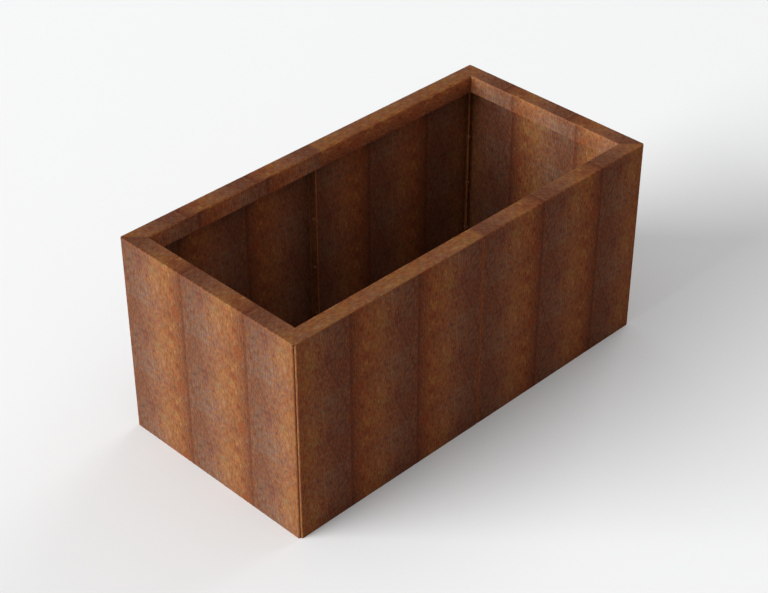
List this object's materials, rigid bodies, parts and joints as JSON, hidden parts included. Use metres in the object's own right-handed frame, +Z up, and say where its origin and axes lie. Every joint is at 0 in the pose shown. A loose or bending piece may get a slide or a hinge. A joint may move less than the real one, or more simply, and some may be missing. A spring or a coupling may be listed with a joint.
{
  "type": "planter box",
  "caption": "Rectangular street planter of folded weathering-steel panels with a flat mitred rim, bolted inner flanges and drained base trays.",
  "frame": {"origin": "on the ground, at the centre of the footprint", "axes": "+X along the length, +Y across the width from the front side to the back side, +Z up"},
  "size_m": [2, 1, 0.93],
  "materials": {
    "weathering_steel": "matte rust patina in broad upright bands, with fine grain",
    "tray_steel": "darker matte rust patina",
    "zinc_plated_steel": "zinc plated, satin"
  },
  "bodies": {
    "root": {"front_panel_left": "weathering_steel", "front_panel_right": "weathering_steel", "back_panel_left": "weathering_steel", "back_panel_right": "weathering_steel", "end_panel_left": "weathering_steel", "end_panel_right": "weathering_steel", "base_tray_left": "tray_steel", "base_tray_right": "tray_steel", "bolt_front_left_1": "zinc_plated_steel", "bolt_front_left_2": "zinc_plated_steel", "bolt_front_left_3": "zinc_plated_steel", "bolt_front_left_4": "zinc_plated_steel", "bolt_front_middle_1": "zinc_plated_steel", "bolt_front_middle_2": "zinc_plated_steel", "bolt_front_middle_3": "zinc_plated_steel", "bolt_front_middle_4": "zinc_plated_steel", "bolt_front_right_1": "zinc_plated_steel", "bolt_front_right_2": "zinc_plated_steel", "bolt_front_right_3": "zinc_plated_steel", "bolt_front_right_4": "zinc_plated_steel", "bolt_back_left_1": "zinc_plated_steel", "bolt_back_left_2": "zinc_plated_steel", "bolt_back_left_3": "zinc_plated_steel", "bolt_back_left_4": "zinc_plated_steel", "bolt_back_middle_1": "zinc_plated_steel", "bolt_back_middle_2": "zinc_plated_steel", "bolt_back_middle_3": "zinc_plated_steel", "bolt_back_middle_4": "zinc_plated_steel", "bolt_back_right_1": "zinc_plated_steel", "bolt_back_right_2": "zinc_plated_steel", "bolt_back_right_3": "zinc_plated_steel", "bolt_back_right_4": "zinc_plated_steel", "nut_front_left_1": "zinc_plated_steel", "nut_front_left_2": "zinc_plated_steel", "nut_front_left_3": "zinc_plated_steel", "nut_front_left_4": "zinc_plated_steel", "nut_front_middle_1": "zinc_plated_steel", "nut_front_middle_2": "zinc_plated_steel", "nut_front_middle_3": "zinc_plated_steel", "nut_front_middle_4": "zinc_plated_steel", "nut_front_right_1": "zinc_plated_steel", "nut_front_right_2": "zinc_plated_steel", "nut_front_right_3": "zinc_plated_steel", "nut_front_right_4": "zinc_plated_steel", "nut_back_left_1": "zinc_plated_steel", "nut_back_left_2": "zinc_plated_steel", "nut_back_left_3": "zinc_plated_steel", "nut_back_left_4": "zinc_plated_steel", "nut_back_middle_1": "zinc_plated_steel", "nut_back_middle_2": "zinc_plated_steel", "nut_back_middle_3": "zinc_plated_steel", "nut_back_middle_4": "zinc_plated_steel", "nut_back_right_1": "zinc_plated_steel", "nut_back_right_2": "zinc_plated_steel", "nut_back_right_3": "zinc_plated_steel", "nut_back_right_4": "zinc_plated_steel"}
  },
  "joints": []
}
